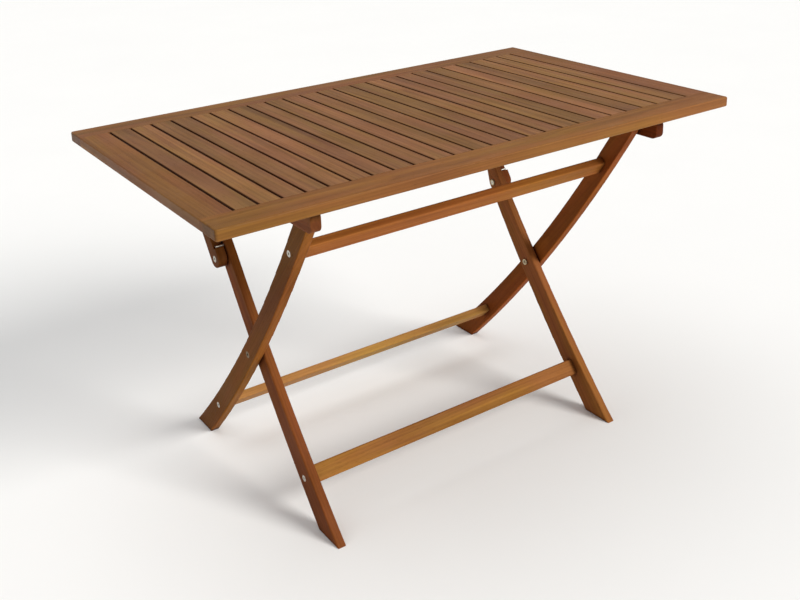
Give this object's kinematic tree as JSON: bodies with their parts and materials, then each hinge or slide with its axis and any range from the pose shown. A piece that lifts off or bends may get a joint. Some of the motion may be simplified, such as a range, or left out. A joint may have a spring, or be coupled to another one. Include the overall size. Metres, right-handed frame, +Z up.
{
  "type": "folding picnic table",
  "caption": "Rectangular folding table with a slatted hardwood top on two pairs of crossed legs joined by stretchers and held open by short support arms.",
  "frame": {"origin": "on the floor under the middle of the table top", "axes": "+X along the table, -Y towards the side where the outer legs meet the top, +Z up"},
  "size_m": [1.2, 0.7, 0.75],
  "materials": {
    "slats": "oiled",
    "top_frame": "oiled",
    "legs_and_cleats": "oiled",
    "steel": "satin"
  },
  "bodies": {
    "table_top": {"long_rail_front": "top_frame", "long_rail_back": "top_frame", "end_rail_left": "top_frame", "end_rail_right": "top_frame", "slat_01": "slats", "slat_02": "slats", "slat_03": "slats", "slat_04": "slats", "slat_05": "slats", "slat_06": "slats", "slat_07": "slats", "slat_08": "slats", "slat_09": "slats", "slat_10": "slats", "slat_11": "slats", "slat_12": "slats", "slat_13": "slats", "slat_14": "slats", "slat_15": "slats", "slat_16": "slats", "slat_17": "slats", "slat_18": "slats", "slat_19": "slats", "slat_20": "slats", "slat_21": "slats", "slat_22": "slats", "slat_23": "slats", "slat_24": "slats", "cleat_left": "legs_and_cleats", "cleat_right": "legs_and_cleats", "cleat_screws": "steel", "leg_hinge_bolts": "steel", "leg_hinge_nuts": "steel", "leg_hinge_washers": "steel", "arm_hinge_bolts": "steel", "arm_hinge_nuts": "steel", "arm_hinge_washers": "steel"},
    "outer_legs": {"outer_leg_left": "legs_and_cleats", "outer_leg_right": "legs_and_cleats", "top_stretcher": "legs_and_cleats", "back_stretcher": "legs_and_cleats", "outer_leg_screws": "steel", "cross_bolts": "steel", "cross_nuts": "steel", "cross_washers": "steel"},
    "inner_legs": {"inner_leg_left": "legs_and_cleats", "inner_leg_right": "legs_and_cleats", "front_stretcher": "legs_and_cleats", "inner_leg_screws": "steel", "stop_pins": "steel", "elbow_bolt_ends": "steel", "elbow_nuts": "steel", "elbow_washers": "steel"},
    "arm_left": {"support_arm_left": "legs_and_cleats", "elbow_bolt_left": "steel"},
    "arm_right": {"support_arm_right": "legs_and_cleats", "elbow_bolt_right": "steel"}
  },
  "joints": [
    {"name": "outer_leg_fold", "type": "hinge", "parent": "table_top", "child": "outer_legs", "pos_m": [0, -0.268, 0.707], "axis": [1, 0, 0], "range_deg": [0, 46]},
    {"name": "cross_fold", "type": "hinge", "parent": "outer_legs", "child": "inner_legs", "pos_m": [0, 0.017, 0.307], "axis": [1, 0, 0], "range_deg": [0, 60.8]},
    {"name": "arm_left_fold", "type": "hinge", "parent": "table_top", "child": "arm_left", "pos_m": [0, 0.293, 0.707], "axis": [-1, 0, 0], "range_deg": [0, 54.9]},
    {"name": "arm_right_fold", "type": "hinge", "parent": "table_top", "child": "arm_right", "pos_m": [0, 0.293, 0.707], "axis": [-1, 0, 0], "range_deg": [0, 54.9]}
  ],
  "couplings": [
    {"joint": "cross_fold", "follows": "outer_leg_fold", "ratio": 1.3194},
    {"joint": "arm_left_fold", "follows": "outer_leg_fold", "ratio": 1.1921},
    {"joint": "arm_right_fold", "follows": "outer_leg_fold", "ratio": 1.1921}
  ]
}
